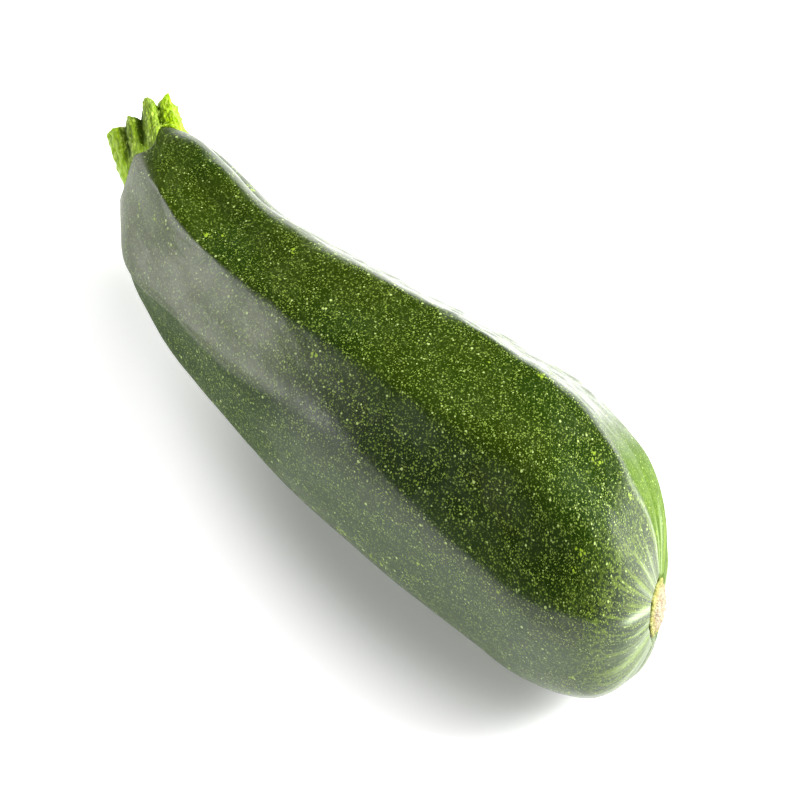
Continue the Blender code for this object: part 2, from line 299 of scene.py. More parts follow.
def path_knots(stations: Table) -> np.ndarray:
    """Gives the way along the surface to each cross-section, in metres."""
    steps = np.diff([station[:4] for station in stations], axis=0)
    return np.concatenate([[0.0], np.cumsum(np.linalg.norm(steps, axis=1))]) * MM


@dataclass(frozen=True)
class Ripples:
    """Smooth irregular waves over a body that is round, the same on every run."""

    seed: int
    count: int
    longest: float
    shortest: float
    height: float
    stretch: float = 1.0

    def heights(self, path: np.ndarray, angle: np.ndarray, girth: float) -> np.ndarray:
        """Adds up the waves.

        Args:
            path: the way along the body, in metres.
            angle: the angle round it, in degrees.
            girth: the way once round it, in metres.

        Returns:
            Heights in metres.
        """
        draw = np.random.default_rng(self.seed)
        total = np.zeros(np.broadcast(path, angle).shape)
        for _ in range(self.count):
            length = self.longest * (self.shortest / self.longest) ** draw.random()
            heading = draw.random() * 2 * np.pi
            round_count = np.round(np.cos(heading) * girth / length)
            along = 2 * np.pi * np.sin(heading) / (length * self.stretch)
            phase = draw.random() * 2 * np.pi
            total += np.cos(along * path + round_count * np.radians(angle) + phase)
        return total * self.height / math.sqrt(self.count / 2)


@dataclass(frozen=True)
class FruitForm:
    """The fruit's surface, as the CAD model has it, with finer relief on request."""

    stations: Table = FRUIT_STATIONS
    rib_table: Table = RIB_ANGLES
    rib_shares: tuple[float, ...] = (0.0, 0.45, 1.0)
    cad_grid: tuple[int, int] = (52, 80)
    rib_rounding: float = 0.3
    flatness: Table = ((0, 0.2), (10, 0.9), (55, 0.95), (75, 0.8), (120, 0.8), (150, 0.75), (168, 0.5))
    rib_rise: float = 0.2
    flat_share: float = 0.5
    furrow_power: float = 2.6
    furrowed: tuple[float, ...] = (0.2, 0.15, 1.0, 0.9, 0.6, 0.5, 0.9, 0.4)
    shown_furrows: tuple[float, ...] = (0.0, 0.0, 1.0, 0.9, 0.6, 0.5, 0.9, 0.0)
    tongue_angles: tuple[float, ...] = (-100, -26, 62, 138, 202)
    tongue_reach: float = 3.0 * MM
    seam_fade: float = 9.0 * MM
    shown_seam_fade: float = 13.0 * MM
    dimple_depth: float = 1.6 * MM
    girth: float = 150 * MM
    pleat_reach: float = 15 * MM
    fold_height: float = 0.10 * MM
    folds: Table = ((19, 0.9, 1.0), (27, 2.2, 0.8), (38, 0.3, 0.6))
    swells: Ripples = Ripples(seed=11, count=16, longest=48 * MM, shortest=16 * MM, height=0.10 * MM)
    bumps: Ripples = Ripples(seed=12, count=60, longest=8 * MM, shortest=2.2 * MM, height=0.015 * MM,
                             stretch=2.1)
    open_from: Span = (0.0, 12 * MM)
    gather_calm: float = 0.7
    gather_power: float = 1.5
    ripples_round: tuple[Span, Span] = ((32, 42), (82, 92))
    ripples_along: tuple[Span, Span] = ((36 * MM, 60 * MM), (126 * MM, 140 * MM))
    side_ripples: float = 6.0

    @property
    def knots(self) -> np.ndarray:
        """The way along the surface to each cross-section, in metres."""
        return path_knots(self.stations)

    @property
    def length(self) -> float:
        """The way along the surface from the seam with the stem to the dimple, in metres."""
        return float(self.knots[-1])

    def crests(self, path: np.ndarray, fine: bool = False) -> np.ndarray:
        """Gives the ribs' angles in degrees at any way along the fruit."""
        if fine:
            return read_along(SHOWN_RIBS, path)
        return smooth_rows(self.rib_table, np.array(self.rib_shares) * self.length, path)

    def seam_reach(self, angle: np.ndarray, fine: bool = False) -> np.ndarray:
        """Gives how far down the fruit the seam lies: furthest at the stem's tongues."""
        if fine:
            seam = np.array(SHOWN_SEAM, dtype=float)
            turned = np.mod(angle - self.tongue_angles[0], 360) + self.tongue_angles[0]
            return smooth_rows(seam[:, 1:], seam[:, 0], turned)[..., 0] * MM
        way, _ = between_crests(angle, np.array(self.tongue_angles, dtype=float))
        return self.tongue_reach * np.cos(np.pi * way) / 2

    def relief(self, path: np.ndarray, angle: np.ndarray) -> np.ndarray:
        """Gives the finer relief: swells, bumps, and pleats that gather at the blossom end.

        Args:
            path: the way along the fruit, in metres.
            angle: the angle round it, in degrees.

        Returns:
            Heights in metres.
        """
        gather = smooth_step(path, self.length - self.pleat_reach, self.length)
        fold = sum(share * np.cos(count * np.radians(angle) + phase)
                   for count, phase, share in self.folds)
        open_body = smooth_step(path, *self.open_from) * (1 - self.gather_calm * gather)
        height = fold * self.fold_height * gather**self.gather_power / 2
        for middle, half_width, rise in PLEATS:
            away = half_turned(angle - middle) / half_width
            height += rise * MM * np.exp(-away**2) * gather
        height += self.swells.heights(path, angle, self.girth) * open_body
        side = hill(half_turned(angle), *self.ripples_round) * hill(path, *self.ripples_along)
        height += self.bumps.heights(path, angle, self.girth) * open_body * (1 + self.side_ripples * side)
        return height

    def points(self, path: np.ndarray, angle: np.ndarray, fine: bool = False) -> np.ndarray:
        """Places points on the surface.

        Args:
            path: the way along the fruit, in metres.
            angle: the angle round it, in degrees.
            fine: whether the finer relief is added.

        Returns:
            The points, in the fruit's own frame.
        """
        fade = np.clip(1 - path / (self.shown_seam_fade if fine else self.seam_fade), 0, 1)
        path = path + self.seam_reach(angle, fine) * fade**2
        rows = smooth_rows(self.stations, self.knots, path)
        radius, yaw, pitch, relief, lobed = np.moveaxis(rows[..., 3:], -1, 0)
        crests = self.crests(path, fine)
        way, gap = between_crests(angle, crests)
        if fine:
            count = crests.shape[-1]
            start, end = picked(crests, gap), picked(crests, (gap + 1) % count)
            half_gap = np.mod(end - start, 360) / 2
            nearest = np.where(np.mod(angle - start, 360) <= half_gap, gap, (gap + 1) % count)
            crest = blunted(way, picked(read_along(SHOWN_BLUNTNESS, path), nearest))
            lobed = lobed * np.array(self.shown_furrows)[gap]
            depth = read_along(self.flatness, path)[..., 0] * picked(read_along(FACET_SHARES, path), gap)
            depth *= radius * (1 - np.cos(np.radians(half_gap)))
            drop = (1 - lobed) * depth * (1 - (1 - crest) ** 2) + lobed * relief * way**self.furrow_power
            distance = (radius + relief * self.rib_rise - drop) * MM + self.relief(path, angle)
        else:
            lobed = lobed * np.array(self.furrowed)[gap]
            flat = self.flat_share * (1 - (1 - blunted(way, self.rib_rounding)) ** 2)
            drop = (1 - lobed) * flat + lobed * way**self.furrow_power
            distance = (radius + relief * (self.rib_rise - drop)) * MM
        _, side, up = directions(yaw, pitch)
        return rows[..., :3] * MM + distance[..., None] * round_the_axis(angle, side, up)

    def end_axis(self) -> np.ndarray:
        """Gives the direction of the middle line at the blossom end."""
        return directions(np.float64(self.stations[-1][4]), np.float64(self.stations[-1][5]))[0]

    def seat(self, share: np.ndarray, angle: np.ndarray, fine: bool = False) -> np.ndarray:
        """Places points in the dimple at the blossom end.

        Args:
            share: 0 in its middle and 1 on its rim.
            angle: the angle round it, in degrees.
            fine: whether the rim has the finer relief.

        Returns:
            The points, in the fruit's own frame.
        """
        rim = self.points(np.full_like(angle, self.length), angle, fine)
        centre = np.array(self.stations[-1][:3]) * MM
        depth = self.dimple_depth * (1 - np.square(share))
        return centre + (rim - centre) * share[..., None] - self.end_axis() * depth[..., None]

    def shift(self) -> np.ndarray:
        """Gives the way from the fruit's own frame to the CAD model's."""
        rings, columns = self.cad_grid
        path, turn = np.meshgrid(np.linspace(0, self.length, rings), np.arange(columns) / columns,
                                 indexing="ij")
        body = self.points(path, follow_crests(turn, self.crests(path)))
        return np.array([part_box("fruit")[0][0] - body[..., 0].min(),
                         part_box("fruit")[0][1] - body[..., 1].min(), 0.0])


@dataclass
class RingCage:
    """A closed body of rings, extruded one after another from a circle."""

    name: str
    columns: int
    centres: np.ndarray
    radii: np.ndarray
    levels: int = 2

    def build(self) -> bpy.types.Object:
        """Models the body and closes both ends.

        Returns:
            The new object, with the attribute that says where each point lies in the rings:
            cosine and sine of its way round, and the number of its ring.
        """
        bpy.ops.object.select_all(action="DESELECT")
        first_turn = Vector((0, 0, 1)).rotation_difference(Vector(self.centres[1] - self.centres[0]))
        bpy.ops.mesh.primitive_circle_add(vertices=self.columns, radius=self.radii[0],
                                          location=self.centres[0], rotation=first_turn.to_euler())
        piece = bpy.context.object
        piece.name = piece.data.name = self.name
        bpy.ops.object.transform_apply(location=True, rotation=True, scale=True)
        bpy.ops.object.mode_set(mode="EDIT")
        bpy.ops.mesh.select_all(action="SELECT")
        for near in range(len(self.centres) - 1):
            step = self.centres[near + 1] - self.centres[near]
            bpy.ops.mesh.extrude_region_move(TRANSFORM_OT_translate={"value": step})
            growth = self.radii[near + 1] / self.radii[near]
            bpy.ops.transform.resize(value=(growth,) * 3, center_override=self.centres[near + 1])
        self.close_end()
        bpy.ops.mesh.select_all(action="DESELECT")
        bpy.ops.object.mode_set(mode="OBJECT")
        chosen = np.zeros(len(piece.data.vertices), dtype=bool)
        chosen[:self.columns] = True
        piece.data.vertices.foreach_set("select", chosen)
        bpy.ops.object.mode_set(mode="EDIT")
        self.close_end()
        bpy.ops.object.mode_set(mode="OBJECT")
        self.write_places(piece.data)
        divided = piece.modifiers.new("finer rings", "SUBSURF")
        divided.subdivision_type = "SIMPLE"
        divided.levels = divided.render_levels = self.levels
        bpy.ops.object.modifier_apply(modifier=divided.name)
        return piece

    @staticmethod
    def close_end() -> None:
        """Draws the selected ring together in its middle."""
        bpy.ops.mesh.extrude_region_move(TRANSFORM_OT_translate={"value": (0, 0, 0)})
        bpy.ops.mesh.merge(type="CENTER")

    def write_places(self, mesh: bpy.types.Mesh) -> None:
        """Stores each point's place in the rings, the last two points being the closed ends."""
        ring_count = len(self.centres)
        turn = 2 * np.pi * np.arange(self.columns) / self.columns
        rings = np.repeat(np.arange(ring_count), self.columns)
        places = round_places(1, np.tile(turn, ring_count), rings)
        places = np.vstack([places, [0, 0, ring_count], [0, 0, -1]])
        layer = mesh.attributes.new(RING_PLACE, "FLOAT_VECTOR", "POINT")
        layer.data.foreach_set("vector", places.astype(np.float32).ravel())


@dataclass
class RingPiece:
    """What all three pieces share: a cage, its points set by a form, and a finish."""

    form: FruitForm
    shift: np.ndarray

    def ring_places(self, mesh: bpy.types.Mesh) -> tuple[np.ndarray, np.ndarray]:
        """Reads where each point lies in the rings.

        Args:
            mesh: the cage's mesh.

        Returns:
            The ring numbers, and the way round from 0 to 1.
        """
        places = np.zeros(len(mesh.vertices) * 3, dtype=np.float32)
        mesh.attributes[RING_PLACE].data.foreach_get("vector", places)
        places = places.reshape(-1, 3).astype(float)
        turn = np.mod(np.arctan2(places[:, 1], places[:, 0]) / (2 * np.pi), 1)
        return places[:, 2], turn

    def set_points(self, piece: bpy.types.Object, points: np.ndarray) -> None:
        """Moves the points to their places and lets the faces look outwards."""
        points = points + self.shift
        points[:, 2] = np.maximum(points[:, 2], 0.0)
        mesh = piece.data
        mesh.vertices.foreach_set("co", points.astype(np.float32).ravel())
        mesh.attributes.remove(mesh.attributes[RING_PLACE])
        mesh.update()
        bpy.ops.object.mode_set(mode="EDIT")
        bpy.ops.mesh.select_all(action="SELECT")
        bpy.ops.mesh.normals_make_consistent(inside=False)
        bpy.ops.object.mode_set(mode="OBJECT")
        bpy.ops.object.shade_smooth()

    @staticmethod
    def with_start(points: np.ndarray, row: np.ndarray, middle: np.ndarray) -> np.ndarray:
        """Draws the points before the first ring together in its middle."""
        closing = np.clip(row + 1, 0, 1)[:, None]
        return np.where((row < 0)[:, None], middle + (points - middle) * closing, points)

    @staticmethod
    def store(piece: bpy.types.Object, name: str, values: np.ndarray) -> None:
        """Keeps three values for each point under a name, for the materials to read."""
        layer = piece.data.attributes.new(name, "FLOAT_VECTOR", "POINT")
        layer.data.foreach_set("vector", values.astype(np.float32).ravel())

    @staticmethod
    def place_in_frame(piece: bpy.types.Object, node: str, slot: Slot, finish: bpy.types.Material) -> None:
        """Dresses a piece, lets it ride on the body and stand for its CAD node."""
        piece.data.materials.clear()
        piece.data.materials.append(finish)
        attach(piece, BODY)
        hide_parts(node)
        mesh = piece.data
        LOG.info("%s: %d points, %d faces", piece.name, len(mesh.vertices), len(mesh.polygons))


@dataclass
class FruitSkin(RingPiece):
    """The fruit with its ribbed and speckled skin."""

    columns: int = 80
    rings: int = 58
    crowding: float = 0.35
    # Pale streaks, some real and the first two painted highlights beside the scar: angle where one
    # begins and at the scar, half width in degrees, where it begins in mm, and strength
    streaks: Table = (
        (-42, -28, 3.0, 156, 0.75), (-86, -70, 5.0, 154, 0.20), (64, 60, 2.0, 150, 0.30),
        (50, 47, 1.5, 153, 0.25), (-9, -11, 1.3, 157, 0.30), (9, 7, 1.3, 156, 0.35), (23, 21, 1.1, 155, 0.30),
        (-58, -49, 1.6, 158, 0.30), (-102, -94, 2.0, 156, 0.30), (120, 112, 3.0, 154, 0.40),
        (146, 141, 1.5, 156, 0.30), (176, 170, 2.6, 155, 0.40), (205, 200, 1.8, 157, 0.35),
        (230, 226, 2.4, 155, 0.35),
    )
    streak_fade: float = 6.0
    streak_growth: float = 1.6
    # A painted highlight: a pale line along the upper crease near the blossom end
    crease_line: float = 0.3
    crease_half_width: float = 1.5
    crease_begins: Span = (140 * MM, 152 * MM)
    dimple_shares: tuple[float, ...] = (0.9, 0.75, 0.5, 0.25)
    pattern_radius: float = 19 * MM
    pattern_held: Span = (0.62, 0.85)
    neck_ends: Span = (10 * MM, 60 * MM)
    # The way the back light comes from: the skin's green is painted lighter towards it and darker away from
    # it, as painted light and shade
    sunny_angle: float = 65.0
    strip_edge: Span = (-6, -1)
    strip_begins: Span = (-175, -150)
    strip_ends: Span = (62 * MM, 86 * MM)
    # Where the side facing the back light is painted a more vivid green, as painted light
    side_edge: float = 5.0
    side_far: Span = (100, 120)
    side_begins: Span = (126 * MM, 148 * MM)
    # Where the flat by the neck is painted paler, as painted light
    flat_low: Span = (-5, 1)
    flat_high: Span = (-26, -11)
    flat_ends: Span = (58 * MM, 86 * MM)

    def build(self) -> bpy.types.Object:
        """Models the fruit.

        Returns:
            The object, dressed and riding.
        """
        form = self.form
        t = np.linspace(0, 1, self.rings)
        path_rows = form.length * (t - self.crowding * np.sin(2 * np.pi * t) / (2 * np.pi))
        rows = smooth_rows(form.stations, form.knots, path_rows)
        centres = rows[:, :3] * MM
        radii = rows[:, 3] * MM
        dimple_centres = np.repeat(centres[-1:], len(self.dimple_shares), axis=0)
        dimple_radii = radii[-1] * np.array(self.dimple_shares)
        cage = RingCage("fruit_skin", self.columns, np.vstack([centres, dimple_centres]) + self.shift,
                        np.concatenate([radii, dimple_radii]))
        piece = cage.build()

        row, turn = self.ring_places(piece.data)
        last = self.rings - 1
        path = np.interp(row, np.arange(self.rings), path_rows)
        angle = follow_crests(turn, form.crests(path, fine=True))
        points = form.points(path, angle, fine=True)
        dimple_rows = last + np.arange(len(self.dimple_shares) + 2)
        share = np.interp(row, dimple_rows, (1.0, *self.dimple_shares, 0.0))
        seat = form.seat(share, angle, fine=True)
        points = np.where((row > last)[:, None], seat, points)
        stem_end = np.array(form.stations[0][:3]) * MM
        self.set_points(piece, self.with_start(points, row, stem_end))
        self.write_patterns(piece, path, angle)
        self.place_in_frame(piece, "fruit", Slot.FRUIT_SKIN, SkinFinish().material())
        return piece

    def write_patterns(self, piece: bpy.types.Object, path: np.ndarray, angle: np.ndarray) -> None:
        """Stores what the skin's material reads.

        Args:
            piece: the fruit.
            path: each point's way along it, in metres.
            angle: each point's angle round it, in degrees.
        """
        form = self.form
        radius = smooth_rows(form.stations, form.knots, path)[:, 3] * MM
        late = smooth_step(path / form.length, *self.pattern_held)
        held = radius + (np.maximum(radius, self.pattern_radius) - radius) * late
        self.store(piece, PATTERN_PLACE, round_places(held, np.radians(angle), path))
        neck = 1 - smooth_step(path, *self.neck_ends)
        # How much a point faces the back light, which the skin's painted light and shade follow
        turned = 0.5 + 0.5 * np.cos(np.radians(angle - self.sunny_angle))
        round_way = half_turned(angle)
        from_low = round_way - form.crests(path, fine=True)[:, 0]
        strip = (1 - smooth_step(from_low, *self.strip_edge)) * smooth_step(round_way, *self.strip_begins)
        strip *= 1 - smooth_step(path, *self.strip_ends)
        self.store(piece, ZONES, np.column_stack([strip, neck, turned]))
        self.store(piece, MARKS, self.marks(path, angle))

    def marks(self, path: np.ndarray, angle: np.ndarray) -> np.ndarray:
        """Says where the skin has painted light, and pale streaks into the scar.

        Args:
            path: each point's way along the fruit, in metres.
            angle: each point's angle round it, in degrees.

        Returns:
            For each point: how much it is on the side facing the back light, painted a more vivid
            green as painted light; on the flat by the neck, painted paler as painted light; and on
            a pale streak into the scar, some real and some painted highlights.
        """
        turned = half_turned(angle)
        crests = self.form.crests(path, fine=True)
        lower, upper = crests[:, 0], crests[:, 2]
        side = smooth_step(turned - upper, 0, self.side_edge) * (1 - smooth_step(turned, *self.side_far))
        side *= smooth_step(path, *self.side_begins)
        flat = (1 - smooth_step(turned, *self.flat_high)) * (1 - smooth_step(path, *self.flat_ends))
        flat *= smooth_step(turned - lower, *self.flat_low)
        # A painted highlight along the crease, then the pale streaks, the first two of them painted
        # highlights
        streak = self.crease_line * np.exp(-np.square((turned - upper) / self.crease_half_width))
        streak *= smooth_step(path, *self.crease_begins)
        for start, end, half_width, begins, strength in self.streaks:
            reach = [begins * MM, self.form.length]
            middle = np.interp(path, reach, [start, end])
            width = np.interp(path, reach, [half_width, half_width * self.streak_growth])
            shown = smooth_step(path, begins * MM, (begins + self.streak_fade) * MM) * strength
            streak = np.maximum(streak, np.exp(-np.square((turned - middle) / width)) * shown)
        return np.column_stack([side, flat, streak])


@dataclass
class StemStub(RingPiece):
    """The stub of the stem: five lobes with fibres, cut off unevenly."""

    stations: Table = STEM_STATIONS
    prongs: Table = PRONGS
    columns: int = 108
    rings: int = 15
    cut_shares: tuple[float, ...] = (0.93, 0.82, 0.68, 0.5, 0.3, 0.14)
    cut_dish: float = 1.1 * MM
    contact_gap: float = 0.03 * MM
    seam_share: float = 0.6
    cut_edge_start: float = 0.6
    fibre_counts: tuple[int, ...] = (37, 53, 71)
    fibre_height: float = 0.055 * MM
    fibre_sway: float = 0.9
    fibre_bends: float = 2.6
    tear_height: float = 0.16 * MM
    tear_counts: tuple[int, ...] = (23, 9, 61)
    lumps: Ripples = Ripples(seed=21, count=30, longest=5 * MM, shortest=1.1 * MM, height=0.13 * MM,
                             stretch=1.3)
    cut_grain: Ripples = Ripples(seed=5, count=24, longest=3 * MM, shortest=1.0 * MM, height=0.10 * MM)
    cut_width: float = 9 * MM
    cut_girth: float = 30 * MM
    girth: float = 56 * MM
    pattern_radius: float = 9 * MM
    pattern_length: float = 10 * MM
    # Where the grooves between the prongs lie, which the rind darkens as painted shade
    groove_depths: Span = (-8.0, -6.4)
    groove_begins: Span = (0.0, 0.35)

    def prong_rows(self, turn: np.ndarray) -> np.ndarray:
        """Reads the prongs' table at any way round, with two more rows to close it."""
        first, last = np.array(self.prongs[0], dtype=float), np.array(self.prongs[-1], dtype=float)
        whole_turn = np.array([360, 360, 0, 0, 0])
        rows = np.vstack([last - whole_turn, self.prongs, first + whole_turn,
                          np.array(self.prongs[1]) + whole_turn])
        return smooth_rows(rows, np.arange(-1, len(self.prongs) + 2) / len(self.prongs), turn)

    def fibres(self, share: np.ndarray, turn: np.ndarray) -> np.ndarray:
        """Gives the height of the fibres that run along the stem.

        Args:
            share: 0 at the seam with the fruit and 1 at the cut.
            turn: the way round, from 0 to 1.

        Returns:
            Heights in metres.
        """
        total = np.zeros_like(share)
        for number, count in enumerate(self.fibre_counts):
            sway = self.fibre_sway * np.sin(self.fibre_bends * share * (number + 1.5) + number * 1.9)
            total += np.cos(2 * np.pi * count * turn + sway + number * 2.4) / (1 + 0.3 * number)
        return self.fibre_height * total / 2

    def points(self, share: np.ndarray, turn: np.ndarray) -> np.ndarray:
        """Places points on the stem's side.

        Args:
            share: 0 at the seam with the fruit and 1 at the cut.
            turn: the way round, from 0 to 1.

        Returns:
            The points, in the fruit's own frame.
        """
        form = self.form
        base, end, cut_radius, cut_height, _ = np.moveaxis(self.prong_rows(turn), -1, 0)
        seat_axis = directions(np.float64(form.stations[0][4]), np.float64(0))[0]
        seated = form.points(np.zeros_like(base), base, fine=True) - seat_axis * self.contact_gap

        rows = smooth_rows(self.stations, np.linspace(0, 1, len(self.stations)), share)
        axis, side, up = directions(rows[:, 4], np.zeros_like(share))
        grown = smooth_step(share, -0.1, 0.5)
        distance = (rows[:, 3] + (cut_radius - self.stations[-1][3]) * grown) * MM
        rough = smooth_step(share, 0.05, 0.3)
        distance += self.fibres(share, turn) * rough
        distance += self.lumps.heights(share * self.pattern_length, turn * 360, self.girth) * rough
        edge = np.maximum(0.0, (share - self.cut_edge_start) / (1 - self.cut_edge_start))
        many, few, fine = (2 * np.pi * count * turn for count in self.tear_counts)
        torn = self.tear_height * (np.cos(many + 0.7) * np.cos(few) + 0.5 * np.cos(fine))
        angle = base + (end - base) * share
        setback = torn * edge - cut_height * MM * edge
        setback += form.seam_reach(angle, fine=True) * np.maximum(0.0, 1 - share / self.seam_share) ** 2
        grown_side = (rows[:, :3] * MM + distance[:, None] * round_the_axis(angle, side, up)
                      + setback[:, None] * axis)
        start = smooth_step(share, 0.0, 0.09)[:, None]
        return seated * (1 - start) + grown_side * start

    def build(self) -> bpy.types.Object:
        """Models the stem.

        Returns:
            The object, dressed and riding.
        """
        shares = np.linspace(0, 1, self.rings)
        rows = smooth_rows(self.stations, np.linspace(0, 1, len(self.stations)), shares)
        cut_centres = np.repeat(rows[-1:, :3], len(self.cut_shares), axis=0)
        centres = np.vstack([rows[:, :3], cut_centres]) * MM + self.shift
        radii = np.concatenate([rows[:, 3], rows[-1, 3] * np.array(self.cut_shares)]) * MM
        piece = RingCage("stem_stub", self.columns, centres, radii).build()

        row, turn = self.ring_places(piece.data)
        last = self.rings - 1
        share = np.clip(row / last, 0, 1)
        points = self.points(share, turn)
        rim = self.points(np.ones_like(share), turn)
        axis = directions(np.float64(self.stations[-1][4]), np.float64(0))[0]
        centre = rim.mean(axis=0) + axis * self.cut_dish
        inward_rows = last + np.arange(len(self.cut_shares) + 2)
        inward = np.interp(row, inward_rows, (1.0, *self.cut_shares, 0.0))
        cut = centre + (rim - centre) * inward[:, None]
        grain = self.cut_grain.heights(inward * self.cut_width, turn * 360, self.cut_girth)
        cut = cut + axis * (grain * smooth_step(1 - inward, 0.02, 0.12))[:, None]
        points = np.where((row > last)[:, None], cut, points)
        self.set_points(piece, self.with_start(points, row, points[row == 0].mean(axis=0)))
        self.write_patterns(piece, share, inward, turn)
        self.place_in_frame(piece, "stem", Slot.STEM_RIND, StemFinish().material())
        return piece

    def write_patterns(self, piece: bpy.types.Object, share: np.ndarray, inward: np.ndarray,
                       turn: np.ndarray) -> None:
        """Stores what the stem's material reads.

        Args:
            piece: the stem.
            share: 0 at the seam and 1 at the cut.
            inward: 1 at the cut's edge and 0 in its middle.
            turn: the way round, from 0 to 1.
        """
        place = round_places(self.pattern_radius, 2 * np.pi * turn, share * self.pattern_length)
        self.store(piece, PATTERN_PLACE, place)
        rows = self.prong_rows(turn)
        groove = smooth_step(-rows[:, 2], *self.groove_depths) * smooth_step(share, *self.groove_begins)
        self.store(piece, ZONES, np.column_stack([1 - inward, groove, rows[:, 4]]))


@dataclass
class BlossomScar(RingPiece):
    """The dry corky pad that the flower left, with a torn edge."""

    columns: int = 72
    scar_share: float = 0.9
    waves: Table = ((5, 0.07, 0.4), (8, 0.05, 1.9), (13, 0.04, 0.8), (29, 0.022, 0.5), (43, 0.016, 1.2))
    thin_edge: float = 0.4
    bulge: float = 0.9 * MM
    thickness: float = 1.3 * MM
    wall_share: float = 0.5
    contact_gap: float = 0.3 * MM
    under_shares: tuple[float, ...] = (0.3, 0.6, 0.8)
    top_shares: tuple[float, ...] = (0.96, 0.86, 0.72, 0.56, 0.38, 0.18)
    crumbs: Ripples = Ripples(seed=8, count=30, longest=3.2 * MM, shortest=0.9 * MM, height=0.13 * MM)
    width: float = 7 * MM
    girth: float = 24 * MM
    curl: float = 0.34 * MM
    curl_rise: Span = (0.70, 0.95)
    ring_step: float = 0.01 * MM

    def build(self) -> bpy.types.Object:
        """Models the scar.

        Returns:
            The object, dressed and riding.
        """
        form = self.form
        shares = np.array([*self.under_shares, 1.0, 1.0, *self.top_shares])
        lifts = np.array([0.0] * len(self.under_shares) + [0.0, self.wall_share]
                         + [1.0] * len(self.top_shares)) * self.thickness
        axis = form.end_axis()
        middle = form.seat(np.zeros(1), np.zeros(1))[0] + axis * self.contact_gap + self.shift
        centres = middle + axis * (lifts + np.arange(len(lifts)) * self.ring_step)[:, None]
        radius = form.stations[-1][3] * MM * self.scar_share
        piece = RingCage("dry_scar", self.columns, centres, radius * shares).build()

        row, turn = self.ring_places(piece.data)
        rows = np.arange(-1, len(shares) + 1)
        share = np.interp(row, rows, (0.0, *shares, 0.0))
        lift = np.interp(row, rows, (0.0, *lifts, self.thickness))
        angle = turn * 360
        lift = lift * (self.thin_edge + (1 - self.thin_edge) * smooth_step(1 - share, 0.0, 0.45))
        torn = np.ones_like(angle)
        for count, height, phase in self.waves:
            torn -= height * (1 + np.sin(count * np.radians(angle) + phase)) / 2
        edge = self.scar_share * torn
        points = form.seat(edge * share, angle)
        on_top = smooth_step(lift, 0.3 * self.thickness, self.thickness)
        radians = np.radians(angle)
        rim = smooth_step(share, *self.curl_rise) * (1 - 0.6 * smooth_step(share, 0.97, 1.0))
        curl = self.curl * rim * (1 + 0.8 * np.sin(7 * radians + 0.6) * np.sin(3 * radians))
        reach = share * self.width
        rough = self.crumbs.heights(reach, angle, self.girth) * smooth_step(share, 0.0, 0.2)
        middle_rise = self.bulge * (1 - np.square(share))
        height = lift + (curl + rough + middle_rise) * on_top + self.contact_gap
        points = points + axis * height[:, None]
        self.set_points(piece, points)
        self.store(piece, PATTERN_PLACE, round_places(reach, radians, lift))
        self.store(piece, ZONES, np.column_stack([share, on_top, turn]))
        self.place_in_frame(piece, "blossom_scar", Slot.DRY_SCAR, ScarFinish().material())
        return piece


